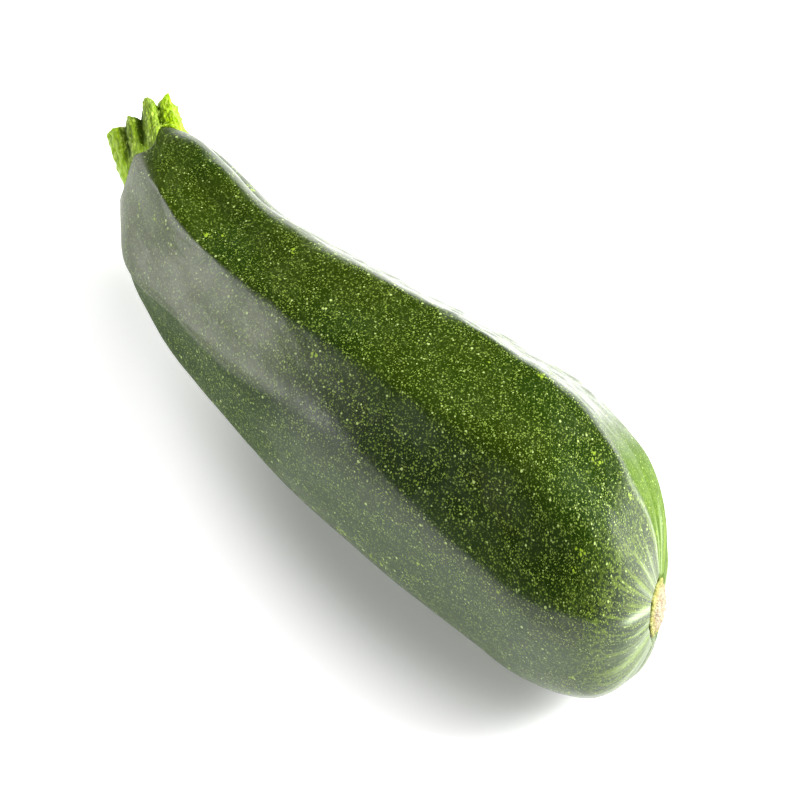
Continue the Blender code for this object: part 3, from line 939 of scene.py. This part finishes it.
class Wiring:
    """Adds nodes to one tree and joins them."""

    def __init__(self, tree: bpy.types.NodeTree) -> None:
        """Takes the tree to work on."""
        self.tree = tree

    def add(self, kind: str, **settings: object) -> bpy.types.Node:
        """Adds a node and gives it its settings."""
        node = self.tree.nodes.new(kind)
        for name, value in settings.items():
            setattr(node, name, value)
        return node

    def put(self, socket: Socket, value: object) -> None:
        """Joins an output to a socket, or gives the socket a value."""
        if isinstance(value, bpy.types.NodeSocket):
            self.tree.links.new(value, socket)
        elif socket.type == "RGBA":
            socket.default_value = (*value, 1.0)
        else:
            socket.default_value = value

    def fill(self, node: bpy.types.Node, *values: object) -> bpy.types.Node:
        """Gives a node's inputs their values in order, where None leaves one as it is."""
        for socket, value in zip(node.inputs, values):
            if value is not None:
                self.put(socket, value)
        return node

    def math(self, operation: str, *values: object, clamp: bool = False) -> Socket:
        """Adds a Math node and gives its output."""
        return self.fill(self.add("ShaderNodeMath", operation=operation, use_clamp=clamp), *values).outputs[0]

    def times(self, product: object, *others: object) -> object:
        """Multiplies values, one after another."""
        for value in others:
            product = self.math("MULTIPLY", product, value)
        return product

    def rest(self, value: object) -> Socket:
        """Gives what a value leaves of 1."""
        return self.math("SUBTRACT", 1.0, value)

    def vector(self, operation: str, *values: object) -> Socket:
        """Adds a Vector Math node and gives its output, a number for a length or a product."""
        node = self.fill(self.add("ShaderNodeVectorMath", operation=operation), *values)
        return node.outputs["Value" if operation in ("LENGTH", "DOT_PRODUCT") else "Vector"]

    def mix(self, share: object, low: object, high: object) -> Socket:
        """Mixes two colours and gives the result."""
        node = self.add("ShaderNodeMix", data_type="RGBA")
        for number, value in ((0, share), (6, low), (7, high)):
            self.put(node.inputs[number], value)
        return node.outputs[2]

    def layered(self, colour: object, *layers: tuple[object, float, object]) -> object:
        """Lays colours over a ground, one after another.

        Args:
            colour: the ground.
            layers: for each colour its mask, the share of the mask that counts, and itself.

        Returns:
            The colour on top.
        """
        for mask, share, laid in layers:
            colour = self.mix(self.times(mask, share), colour, laid)
        return colour

    def span(self, value: object, low: object, high: object, to_low: object = 0.0,
             to_high: object = 1.0) -> Socket:
        """Maps a value smoothly from one range to another."""
        node = self.add("ShaderNodeMapRange", interpolation_type="SMOOTHSTEP")
        return self.fill(node, value, low, high, to_low, to_high).outputs[0]

    def attribute(self, name: str) -> Socket:
        """Reads a piece's attribute as a vector."""
        return self.add("ShaderNodeAttribute", attribute_name=name).outputs["Vector"]

    def parts(self, vector: object) -> tuple[Socket, ...]:
        """Splits a vector into its three numbers."""
        return tuple(self.fill(self.add("ShaderNodeSeparateXYZ"), vector).outputs)

    def noise(self, place: object, detail: float, roughness: float = 0.5) -> Socket:
        """Adds a Noise Texture at scale 1 and gives its value."""
        node = self.add("ShaderNodeTexNoise")
        for name, value in (("Vector", place), ("Scale", 1.0), ("Detail", detail), ("Roughness", roughness)):
            self.put(node.inputs[name], value)
        return node.outputs["Fac"]

    def use(self, effect: bpy.types.NodeTree, **values: object) -> bpy.types.Node:
        """Places a shared effect with its own values."""
        node = self.add("ShaderNodeGroup", node_tree=effect)
        for name, value in values.items():
            self.put(node.inputs[name], value)
        return node

    def bump(self, height: object, distance: float, before: object = None) -> Socket:
        """Adds a Bump node, on top of an earlier one if given, and gives its normal."""
        node = self.add("ShaderNodeBump")
        node.inputs["Distance"].default_value = distance
        self.put(node.inputs["Height"], height)
        if before is not None:
            self.put(node.inputs["Normal"], before)
        return node.outputs[0]


def new_effect(name: str, takes: tuple[str, ...], gives: tuple[str, ...]) -> tuple[
        Wiring, bpy.types.Node, bpy.types.Node]:
    """Starts a shared effect as a shader node group.

    Args:
        name: the group's name.
        takes: its number inputs, beside the place.
        gives: its outputs.

    Returns:
        The wiring of the group, its input node and its output node.
    """
    tree = bpy.data.node_groups.new(name, "ShaderNodeTree")
    tree.interface.new_socket("Place", in_out="INPUT", socket_type="NodeSocketVector")
    for names, way in ((takes, "INPUT"), (gives, "OUTPUT")):
        for socket in names:
            tree.interface.new_socket(socket, in_out=way, socket_type="NodeSocketFloat")
    wiring = Wiring(tree)
    return wiring, wiring.add("NodeGroupInput"), wiring.add("NodeGroupOutput")


@dataclass(frozen=True)
class Dots:
    """Round spots of uneven size, one or none in each cell; the shift sets them apart from others."""

    cell: float
    reach: float
    shift: float

    @staticmethod
    @cache
    def effect() -> bpy.types.NodeTree:
        """Builds the shared effect: a mask, and a number of its own for each spot."""
        wire, given, out = new_effect("dots", ("Cell", "Reach", "Shift"), ("Mask", "Tone"))
        cells = wire.vector("DIVIDE", given.outputs["Place"], given.outputs["Cell"])
        moved = wire.vector("ADD", cells, given.outputs["Shift"])
        spots = wire.add("ShaderNodeTexVoronoi", voronoi_dimensions="3D", feature="F1")
        wire.put(spots.inputs["Vector"], moved)
        spots.inputs["Scale"].default_value = 1.0
        tone, chance, _ = wire.parts(spots.outputs["Color"])
        reach = wire.times(given.outputs["Reach"], wire.math("MULTIPLY_ADD", chance, 0.9, 0.35))
        inner = wire.times(reach, 0.60)
        wire.put(out.inputs["Mask"], wire.span(spots.outputs["Distance"], reach, inner))
        wire.put(out.inputs["Tone"], tone)
        return wire.tree

    def on(self, wire: Wiring, place: Socket) -> tuple[Socket, Socket]:
        """Adds them to a material and gives their mask, and each one's own number."""
        node = wire.use(self.effect(), Place=place, Cell=self.cell, Reach=self.reach, Shift=self.shift)
        return node.outputs["Mask"], node.outputs["Tone"]


@dataclass(frozen=True)
class Strands:
    """Fine strands along the piece; the shift sets them apart from others."""

    width: float
    length: float
    shift: float

    @staticmethod
    @cache
    def effect() -> bpy.types.NodeTree:
        """Builds the shared effect: a value from 0 to 1."""
        wire, given, out = new_effect("strands", ("Width", "Length", "Shift"), ("Value",))
        joined = wire.add("ShaderNodeCombineXYZ")
        sizes = ("Width", "Width", "Length")
        for socket, part, size in zip(joined.inputs, wire.parts(given.outputs["Place"]), sizes):
            wire.put(socket, wire.math("DIVIDE", part, given.outputs[size]))
        moved = wire.vector("ADD", joined.outputs[0], given.outputs["Shift"])
        wire.put(out.inputs["Value"], wire.noise(moved, 2.0, 0.55))
        return wire.tree

    def on(self, wire: Wiring, place: Socket) -> Socket:
        """Adds them to a material and gives their value."""
        node = wire.use(self.effect(), Place=place, Width=self.width, Length=self.length, Shift=self.shift)
        return node.outputs["Value"]


@dataclass(frozen=True)
class Clouds:
    """Soft uneven patches; the shift sets them apart from others."""

    size: float
    shift: float

    @staticmethod
    @cache
    def effect() -> bpy.types.NodeTree:
        """Builds the shared effect: a value from 0 to 1."""
        wire, given, out = new_effect("clouds", ("Size", "Shift"), ("Value",))
        cells = wire.vector("DIVIDE", given.outputs["Place"], given.outputs["Size"])
        moved = wire.vector("ADD", cells, given.outputs["Shift"])
        wire.put(out.inputs["Value"], wire.span(wire.noise(moved, 3.0), 0.3, 0.7))
        return wire.tree

    def on(self, wire: Wiring, place: Socket) -> Socket:
        """Adds them to a material and gives their value."""
        return wire.use(self.effect(), Place=place, Size=self.size, Shift=self.shift).outputs["Value"]


def new_material(name: str) -> tuple[bpy.types.Material, Wiring, bpy.types.Node]:
    """Starts a material.

    Args:
        name: the material's name.

    Returns:
        The material, its wiring and its Principled shader.
    """
    material = bpy.data.materials.new(name)
    material.use_nodes = True
    return material, Wiring(material.node_tree), material.node_tree.nodes["Principled BSDF"]


@dataclass(frozen=True)
class SkinFinish:
    """Dark green waxy skin: fine pale grains, sparser specks, flecks and faint strands, with painted light
    and shade: a lighter green towards the back light, darker away from it.
    """

    # The first colour is the skin's green in painted shade, and green is its copy in painted light
    painted_shade: Colour = (0.0045, 0.0120, 0.0005)
    # A painted fill light: a lighter green on the side turned away from the back light
    painted_fill: Colour = (0.0150, 0.0370, 0.0020)
    # The paler green of the flat by the neck, painted light
    flat: Colour = (0.0290, 0.0450, 0.0020)
    green: Colour = (0.0095, 0.0255, 0.0004)
    olive: Colour = (0.0230, 0.0310, 0.0004)
    backlit_green: Colour = (0.0430, 0.0900, 0.0004)
    grain: Colour = (0.1500, 0.2150, 0.0330)
    speck: Colour = (0.3000, 0.3800, 0.1200)
    fleck: Colour = (0.2200, 0.3200, 0.0200)
    # The pale green of the streaks into the scar and of the painted highlights beside it
    pale: Colour = (0.4200, 0.5200, 0.3000)
    olive_share: float = 0.45
    fleck_share: float = 0.85
    thread_share: float = 0.35
    # How much of the painted shade the neck is spared
    neck_light: float = 0.5
    neck_bareness: float = 0.32
    under_turn: Span = (0.45, 0.10)
    threads_begin: Span = (0.138, 0.164)
    broad: Clouds = Clouds(0.020, 3.1)
    small: Clouds = Clouds(0.0030, 7.7)
    warm: Clouds = Clouds(0.028, 15.2)
    wax: Clouds = Clouds(0.006, 21.0)
    rows: Strands = Strands(0.0006, 0.0060, 1.3)
    threads: Strands = Strands(0.0008, 0.018, 8.8)
    pores: Strands = Strands(0.0009, 0.0016, 5.9)
    grains: Dots = Dots(0.00040, 0.55, 0.0)
    specks: Dots = Dots(0.00105, 0.205, 4.4)
    large_specks: Dots = Dots(0.0025, 0.125, 12.9)
    fleck_patches: Dots = Dots(0.0062, 0.21, 9.3)
    fleck_crumbs: Dots = Dots(0.00080, 0.55, 2.5)
    fleck_stretch: tuple[float, float, float] = (1.0, 1.0, 0.6)
    roughness: float = 0.24
    rougher: float = 0.34
    matte: float = 0.85
    smoother: float = 0.08
    smoother_turn: Span = (0.93, 0.98)
    pore_depth: float = 0.06 * MM
    speck_height: float = 0.012 * MM

    def material(self) -> bpy.types.Material:
        """Builds the material."""
        made, wire, shader = new_material("courgette_skin")
        place = wire.attribute(PATTERN_PLACE)
        strip, neck, turned = wire.parts(wire.attribute(ZONES))
        side, flat, into_scar = wire.parts(wire.attribute(MARKS))
        # How much painted light a point gets: by how it faces the back light, with less painted shade on the
        # neck
        sunned = wire.math("MULTIPLY_ADD", wire.times(neck, self.neck_light), wire.rest(turned), turned)
        streak = self.rows.on(wire, place)

        # Painted light and shade: a lighter green towards the back light, darker away from it, in broad
        # random patches
        lit = wire.times(wire.span(sunned, 0.25, 0.85),
                         wire.span(self.broad.on(wire, place), 0.0, 1.0, 0.80, 1.0))
        # Olive patches: random tone, but laid only where the painted light falls, so partly painted light
        warm = wire.times(sunned, self.warm.on(wire, place))
        specks = self.speck_mask(wire, place)
        fray = wire.span(streak, 0.30, 0.60, 0.45, 1.0)
        near_end = wire.span(wire.parts(place)[2], *self.threads_begin)
        threaded = wire.times(wire.span(self.threads.on(wire, place), 0.46, 0.62), near_end)
        colour = wire.layered(
            self.painted_shade,
            (lit, 1.0, self.green),
            (warm, self.olive_share, self.olive),
            # Painted fill light on the side turned away from the back light
            (wire.span(turned, *self.under_turn), 1.0, self.painted_fill),
            # Painted light: a paler green on the flat by the neck
            (flat, 1.0, self.flat),
            # Painted light: a more vivid green on the side facing the back light
            (side, 1.0, self.backlit_green),
            (self.grain_mask(wire, place, streak, sunned, neck), 1.0, self.grain),
            # Specks fade a little in the painted shade
            (wire.times(specks, wire.span(sunned, 0.0, 1.0, 0.95, 1.0)), 1.0, self.speck),
            (self.fleck_mask(wire, place), self.fleck_share, self.fleck),
            (threaded, self.thread_share, self.fleck),
            # Pale streaks into the scar: some real, some painted highlights
            (wire.times(into_scar, fray), 1.0, self.pale),
        )
        wire.put(shader.inputs["Base Color"], colour)

        waxed = wire.span(self.wax.on(wire, place), 0.0, 1.0, self.roughness, self.rougher)
        dull = wire.math("MAXIMUM", side, strip)
        waxed = wire.math("MULTIPLY_ADD", dull, self.matte - self.rougher, waxed)
        sheen = wire.times(wire.span(turned, *self.smoother_turn), wire.rest(side))
        wire.put(shader.inputs["Roughness"], wire.math("MULTIPLY_ADD", sheen, -self.smoother, waxed))
        shader.inputs["IOR"].default_value = 1.45
        relief = wire.bump(self.pores.on(wire, place), self.pore_depth)
        wire.put(shader.inputs["Normal"], wire.bump(specks, self.speck_height, relief))
        return made

    def grain_mask(self, wire: Wiring, place: Socket, streak: Socket, sunned: Socket, neck: Socket) -> object:
        """Adds the fine grains, which lie in rows along the fruit and fade a little in the painted shade.

        Args:
            wire: the material's wiring.
            place: where a point lies in the pattern.
            streak: the strands that the rows follow.
            sunned: how much a point lies on the sunny side, which fades the grains as painted shade.
            neck: how near it is to the neck, where the grains are fewer.

        Returns:
            Their mask.
        """
        dense, tone = self.grains.on(wire, place)
        amount = wire.span(tone, 0.0, 0.8, 0.22, 1.0)
        rows = wire.span(streak, 0.34, 0.60, 0.40, 1.15)
        patchy = wire.span(self.small.on(wire, place), 0.0, 1.0, 0.84, 1.06)
        body = wire.rest(wire.times(neck, self.neck_bareness))
        return wire.times(dense, amount, rows, patchy, body, wire.span(sunned, 0.0, 1.0, 0.90, 1.0))

    def speck_mask(self, wire: Wiring, place: Socket) -> Socket:
        """Adds the sparser specks, small and large, and gives their mask."""
        sparse, tone = self.specks.on(wire, place)
        small = wire.times(sparse, wire.span(tone, 0.1, 0.8, 0.3, 1.0))
        return wire.math("MAXIMUM", small, self.large_specks.on(wire, place)[0])

    def fleck_mask(self, wire: Wiring, place: Socket) -> object:
        """Adds the flecks, each a small heap of crumbs, and gives their mask."""
        stretched = wire.vector("MULTIPLY", place, self.fleck_stretch)
        core = wire.span(self.fleck_patches.on(wire, stretched)[0], 0.1, 0.8)
        return wire.times(core, self.fleck_crumbs.on(wire, place)[0])


@dataclass(frozen=True)
class StemFinish:
    """Yellow-green fibrous rind, with painted shade in its furrows and in the grooves between its prongs, and
    a pale moist face where it was cut.
    """

    rind: Colour = (0.235, 0.385, 0.001)
    # The dark green of the painted shade, also laid in random blotches
    shade: Colour = (0.045, 0.095, 0.001)
    ridge: Colour = (0.12, 0.18, 0.022)
    fibre: Colour = (0.36, 0.48, 0.07)
    flesh: Colour = (0.36, 0.44, 0.14)
    vein: Colour = (0.14, 0.24, 0.03)
    patches: Clouds = Clouds(0.0020, 2.2)
    blotches: Clouds = Clouds(0.0009, 5.2)
    fibres: Strands = Strands(0.0005, 0.0022, 8.8)
    furrows: Strands = Strands(0.0008, 0.0030, 3.3)
    spots: Dots = Dots(0.0011, 0.42, 6.1)
    bundles: Dots = Dots(0.0016, 0.45, 1.7)
    fibre_share: float = 0.35
    furrow_share: float = 0.6
    groove_share: float = 0.85
    blotch_share: float = 0.30
    spot_share: float = 0.75
    vein_share: float = 0.6
    roughness: float = 0.42
    rougher: float = 0.6
    fibre_depth: float = 0.20 * MM
    blotch_depth: float = 0.25 * MM

    def material(self) -> bpy.types.Material:
        """Builds the material."""
        made, wire, shader = new_material("stem_rind")
        place = wire.attribute(PATTERN_PLACE)
        cut, groove, yellow = wire.parts(wire.attribute(ZONES))
        patch, blotch = self.patches.on(wire, place), self.blotches.on(wire, place)
        fine, dark = self.fibres.on(wire, place), self.furrows.on(wire, place)

        uneven = wire.times(wire.math("SUBTRACT", patch, 0.5), 0.5)
        tint = wire.math("ADD", yellow, uneven, clamp=True)
        # Painted shade: darker in the furrows between the fibres and in the grooves between the prongs
        furrow = wire.times(wire.span(dark, 0.52, 0.68), self.furrow_share)
        painted_shade = wire.math("MAXIMUM", furrow, wire.times(wire.span(groove, 0.2, 0.9), self.groove_share))
        inside = wire.layered(self.flesh, (self.bundles.on(wire, place)[0], self.vein_share, self.vein))
        colour = wire.layered(
            self.ridge,
            (tint, 1.0, self.rind),
            (wire.span(fine, 0.45, 0.62), self.fibre_share, self.fibre),
            (painted_shade, 1.0, self.shade),
            (wire.span(blotch, 0.55, 0.95), self.blotch_share, self.shade),
            (self.spots.on(wire, place)[0], self.spot_share, self.fibre),
            (wire.span(cut, 0.0, 0.06), 1.0, inside),
        )
        wire.put(shader.inputs["Base Color"], colour)
        wire.put(shader.inputs["Roughness"], wire.span(patch, 0.0, 1.0, self.roughness, self.rougher))
        shader.inputs["IOR"].default_value = 1.25
        shader.inputs["Subsurface Weight"].default_value = 0.12
        shader.inputs["Subsurface Radius"].default_value = (0.6, 1.0, 0.2)
        shader.inputs["Subsurface Scale"].default_value = 1.5 * MM
        rough = wire.bump(blotch, self.blotch_depth, wire.bump(fine, self.fibre_depth))
        wire.put(shader.inputs["Normal"], wire.bump(dark, self.fibre_depth, rough))
        return made


@dataclass(frozen=True)
class ScarFinish:
    """Dry cream cork with a tan torn edge."""

    cream: Colour = (0.36, 0.33, 0.235)
    tan: Colour = (0.36, 0.21, 0.08)
    brown: Colour = (0.12, 0.055, 0.018)
    green: Colour = (0.30, 0.36, 0.08)
    patches: Clouds = Clouds(0.0016, 4.0)
    cracks: Clouds = Clouds(0.0006, 9.0)
    worn: Clouds = Clouds(0.0034, 13.0)
    fuzz: Strands = Strands(0.0004, 0.0004, 2.0)
    patch_share: float = 0.35
    torn_share: float = 0.8
    under_share: float = 0.6
    roughness: float = 0.85
    relief: float = 0.2 * MM

    def material(self) -> bpy.types.Material:
        """Builds the material."""
        made, wire, shader = new_material("dry_scar")
        place = wire.attribute(PATTERN_PLACE)
        share, top, _ = wire.parts(wire.attribute(ZONES))
        patch, crack = self.patches.on(wire, place), self.cracks.on(wire, place)
        edge = wire.times(wire.span(share, 0.66, 0.96), wire.span(patch, 0.25, 0.75, 0.25, 1.0))
        torn = wire.times(wire.span(self.worn.on(wire, place), 0.45, 0.85), wire.span(share, 0.55, 0.95))
        dark = wire.times(wire.span(crack, 0.6, 0.95), wire.span(share, 0.5, 1.0, 0.25, 0.9))
        colour = wire.layered(
            self.cream,
            (patch, self.patch_share, self.tan),
            (edge, 1.0, self.tan),
            (torn, self.torn_share, self.brown),
            (dark, 1.0, self.brown),
            (wire.rest(top), self.under_share, self.green),
        )
        wire.put(shader.inputs["Base Color"], colour)
        shader.inputs["Roughness"].default_value = self.roughness
        fuzzy = wire.bump(self.fuzz.on(wire, place), self.relief)
        wire.put(shader.inputs["Normal"], wire.bump(crack, self.relief, fuzzy))
        return made


@dataclass(frozen=True)
class SoftPanel:
    """A rectangular studio light that looks at the courgette."""

    name: str
    towards: tuple[float, float, float]
    distance: float
    width: float
    height: float
    brightness: float
    mirrored: bool = False

    def build(self) -> None:
        """Adds the light; brightness is the radiance of its face."""
        data = bpy.data.lights.new(self.name, "AREA")
        data.shape = "RECTANGLE"
        data.size = self.width
        data.size_y = self.height
        data.energy = self.brightness * self.width * self.height * math.pi
        light = bpy.data.objects.new(self.name, data)
        light.visible_glossy = self.mirrored
        light.visible_camera = False
        way = Vector(self.towards).normalized()
        light.location = way * self.distance
        light.rotation_euler = way.to_track_quat("Z", "Y").to_euler()
        bpy.context.scene.collection.objects.link(light)


@dataclass(frozen=True)
class SkyGlow:
    """A soft bright field of the surroundings; angles in degrees, azimuth 0 along +X."""

    azimuth: float
    half_width: float
    low: float
    high: float
    soft: float
    brightness: float

    def strength(self, wire: Wiring, direction: Socket) -> Socket:
        """Adds the nodes that say how much a direction sees of it.

        Args:
            wire: the sky's wiring.
            direction: the direction looked in.

        Returns:
            The brightness in that direction.
        """
        edge, soft, low, high = np.radians((self.half_width, self.soft, self.low, self.high)).tolist()
        turned = wire.add("ShaderNodeVectorRotate", rotation_type="Z_AXIS")
        wire.put(turned.inputs["Vector"], direction)
        turned.inputs["Angle"].default_value = -math.radians(self.azimuth)
        ahead, aside, rise = wire.parts(turned.outputs[0])
        away = wire.math("ABSOLUTE", wire.math("ARCTAN2", aside, ahead))
        lift = wire.math("ARCSINE", rise)
        across = wire.span(away, edge + soft, edge - soft)
        above = wire.span(lift, low - soft, low + soft)
        below = wire.span(lift, high + soft, high - soft)
        return wire.times(above, below, across, self.brightness)


@dataclass
class Studio:
    """A pale floor, soft light and the camera at the photograph's angle."""

    shift: np.ndarray
    floor_radius: float = 4.0
    floor_drop: float = 0.05 * MM
    floor_colour: Colour = (0.90, 0.90, 0.90)
    floor_mottle: Clouds = Clouds(0.3, 0.0)
    floor_glow: float = 2.4
    around_middle: tuple[float, float, float] = (0.028, 0.0, 0.0)
    around_squash: tuple[float, float, float] = (0.60, 1.0, 0.0)
    around_reach: Span = (0.026, 0.052)
    around_share: float = 0.22
    back_way: tuple[float, float, float] = (-0.31, 0.95, 0.0)
    back_reach: Span = (0.040, 0.100)
    back_ends: tuple[Span, Span] = ((0.085, 0.045), (-0.080, -0.035))
    back_share: float = 0.26
    sky: float = 0.045
    sky_seen: float = 0.85
    lens: float = 138.7
    sensor: float = 36.0
    camera_place: tuple[float, float, float] = (0.22592, -0.21277, 0.59813)
    camera_back: tuple[float, float, float] = (0.34202, -0.31862, 0.88403)
    camera_right: tuple[float, float, float] = (0.68163, 0.73170, 0.0)
    panels: tuple[SoftPanel, ...] = (
        SoftPanel("back_light", (0.38, 0.82, 0.62), 1.2, 0.8, 0.8, 22.0),
        SoftPanel("top_light", (0.25, 0.35, 1.0), 1.2, 1.0, 1.0, 2.2),
    )
    glows: tuple[SkyGlow, ...] = (
        SkyGlow(211, 26, -20, 25, 7, 5.8),
        SkyGlow(212, 22, 25, 44, 8, 0.8),
        SkyGlow(85, 30, -20, 11, 6, 4.0),
        SkyGlow(258, 24, -20, 14, 10, 1.9),
        SkyGlow(312, 34, -20, 22, 12, 2.4),
        SkyGlow(20, 34, -20, 18, 12, 1.7),
        SkyGlow(30, 24, 20, 38, 10, 0.7),
    )

    def build(self) -> None:
        """Sets up the floor, the light and the camera."""
        self.add_floor()
        self.add_sky()
        for panel in self.panels:
            panel.build()
        self.add_camera()
        bpy.context.scene.view_settings.view_transform = "Standard"
        LOG.info("studio: %d lights", len(self.panels))

    def add_floor(self) -> None:
        """Adds the floor, which glows as painted light: little close round the courgette, so that its shadow
        stays dark there, more away from it and most beyond it, where the fruit's side reflects it.
        """
        bpy.ops.object.select_all(action="DESELECT")
        bpy.ops.mesh.primitive_circle_add(vertices=96, radius=self.floor_radius, fill_type="NGON",
                                          location=(0, 0, -self.floor_drop))
        floor = bpy.context.object
        floor.name = floor.data.name = "floor"
        bpy.ops.object.transform_apply(location=True, rotation=True, scale=True)
        material, wire, shader = new_material("pale_floor")
        place = wire.add("ShaderNodeTexCoord").outputs["Object"]
        mottle = self.floor_mottle.on(wire, place)
        wire.put(shader.inputs["Roughness"], wire.span(mottle, 0.0, 1.0, 0.75, 0.85))
        shader.inputs["Base Color"].default_value = (*self.floor_colour, 1.0)
        # Painted light: the floor's glow rises away from the courgette and beyond it
        from_middle = wire.vector("SUBTRACT", place, self.around_middle)
        around = wire.vector("LENGTH", wire.vector("MULTIPLY", from_middle, self.around_squash))
        behind = wire.span(wire.vector("DOT_PRODUCT", place, self.back_way), *self.back_reach)
        along = wire.parts(place)[0]
        for reach in self.back_ends:
            behind = wire.times(behind, wire.span(along, *reach))
        glow = wire.span(around, *self.around_reach, 0.0, self.around_share)
        glow = wire.math("MULTIPLY_ADD", behind, self.back_share, glow)
        wire.put(shader.inputs["Emission Color"], glow)
        shader.inputs["Emission Strength"].default_value = self.floor_glow
        floor.data.materials.append(material)

    def add_sky(self) -> None:
        """Adds a dim sky that looks pale where the camera sees it directly."""
        world = bpy.data.worlds.new("studio_air")
        world.use_nodes = True
        bpy.context.scene.world = world
        wire = Wiring(world.node_tree)
        background = world.node_tree.nodes["Background"]
        direction = wire.add("ShaderNodeTexCoord").outputs["Generated"]
        strength = self.sky
        for glow in self.glows:
            strength = wire.math("ADD", strength, glow.strength(wire, direction))
        seen = wire.add("ShaderNodeLightPath").outputs["Is Camera Ray"]
        shown = wire.fill(wire.add("ShaderNodeMix", data_type="FLOAT"), seen, None, strength, self.sky_seen)
        wire.put(background.inputs["Strength"], shown.outputs[0])
        background.inputs["Color"].default_value = (1.0, 1.0, 1.0, 1.0)

    def add_camera(self) -> None:
        """Adds the camera."""
        data = bpy.data.cameras.new("camera")
        data.lens = self.lens
        data.sensor_width = self.sensor
        data.clip_start = 0.01
        camera = bpy.data.objects.new("camera", data)
        right, back = Vector(self.camera_right), Vector(self.camera_back)
        turn = Matrix((right, back.cross(right), back)).transposed()
        place = Vector(self.camera_place) + Vector(self.shift)
        camera.matrix_world = Matrix.Translation(place) @ turn.to_4x4()
        bpy.context.scene.collection.objects.link(camera)
        bpy.context.scene.camera = camera


def main() -> None:
    """Builds the pieces and the studio."""
    logging.basicConfig(level=logging.INFO, format="%(name)s: %(message)s")
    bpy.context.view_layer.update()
    form = FruitForm()
    shift = form.shift()
    LOG.info("shift: %s mm", np.round(shift / MM, 3))
    FruitSkin(form, shift).build()
    StemStub(form, shift).build()
    BlossomScar(form, shift).build()
    Studio(shift).build()


if __name__ == "__main__":
    main()
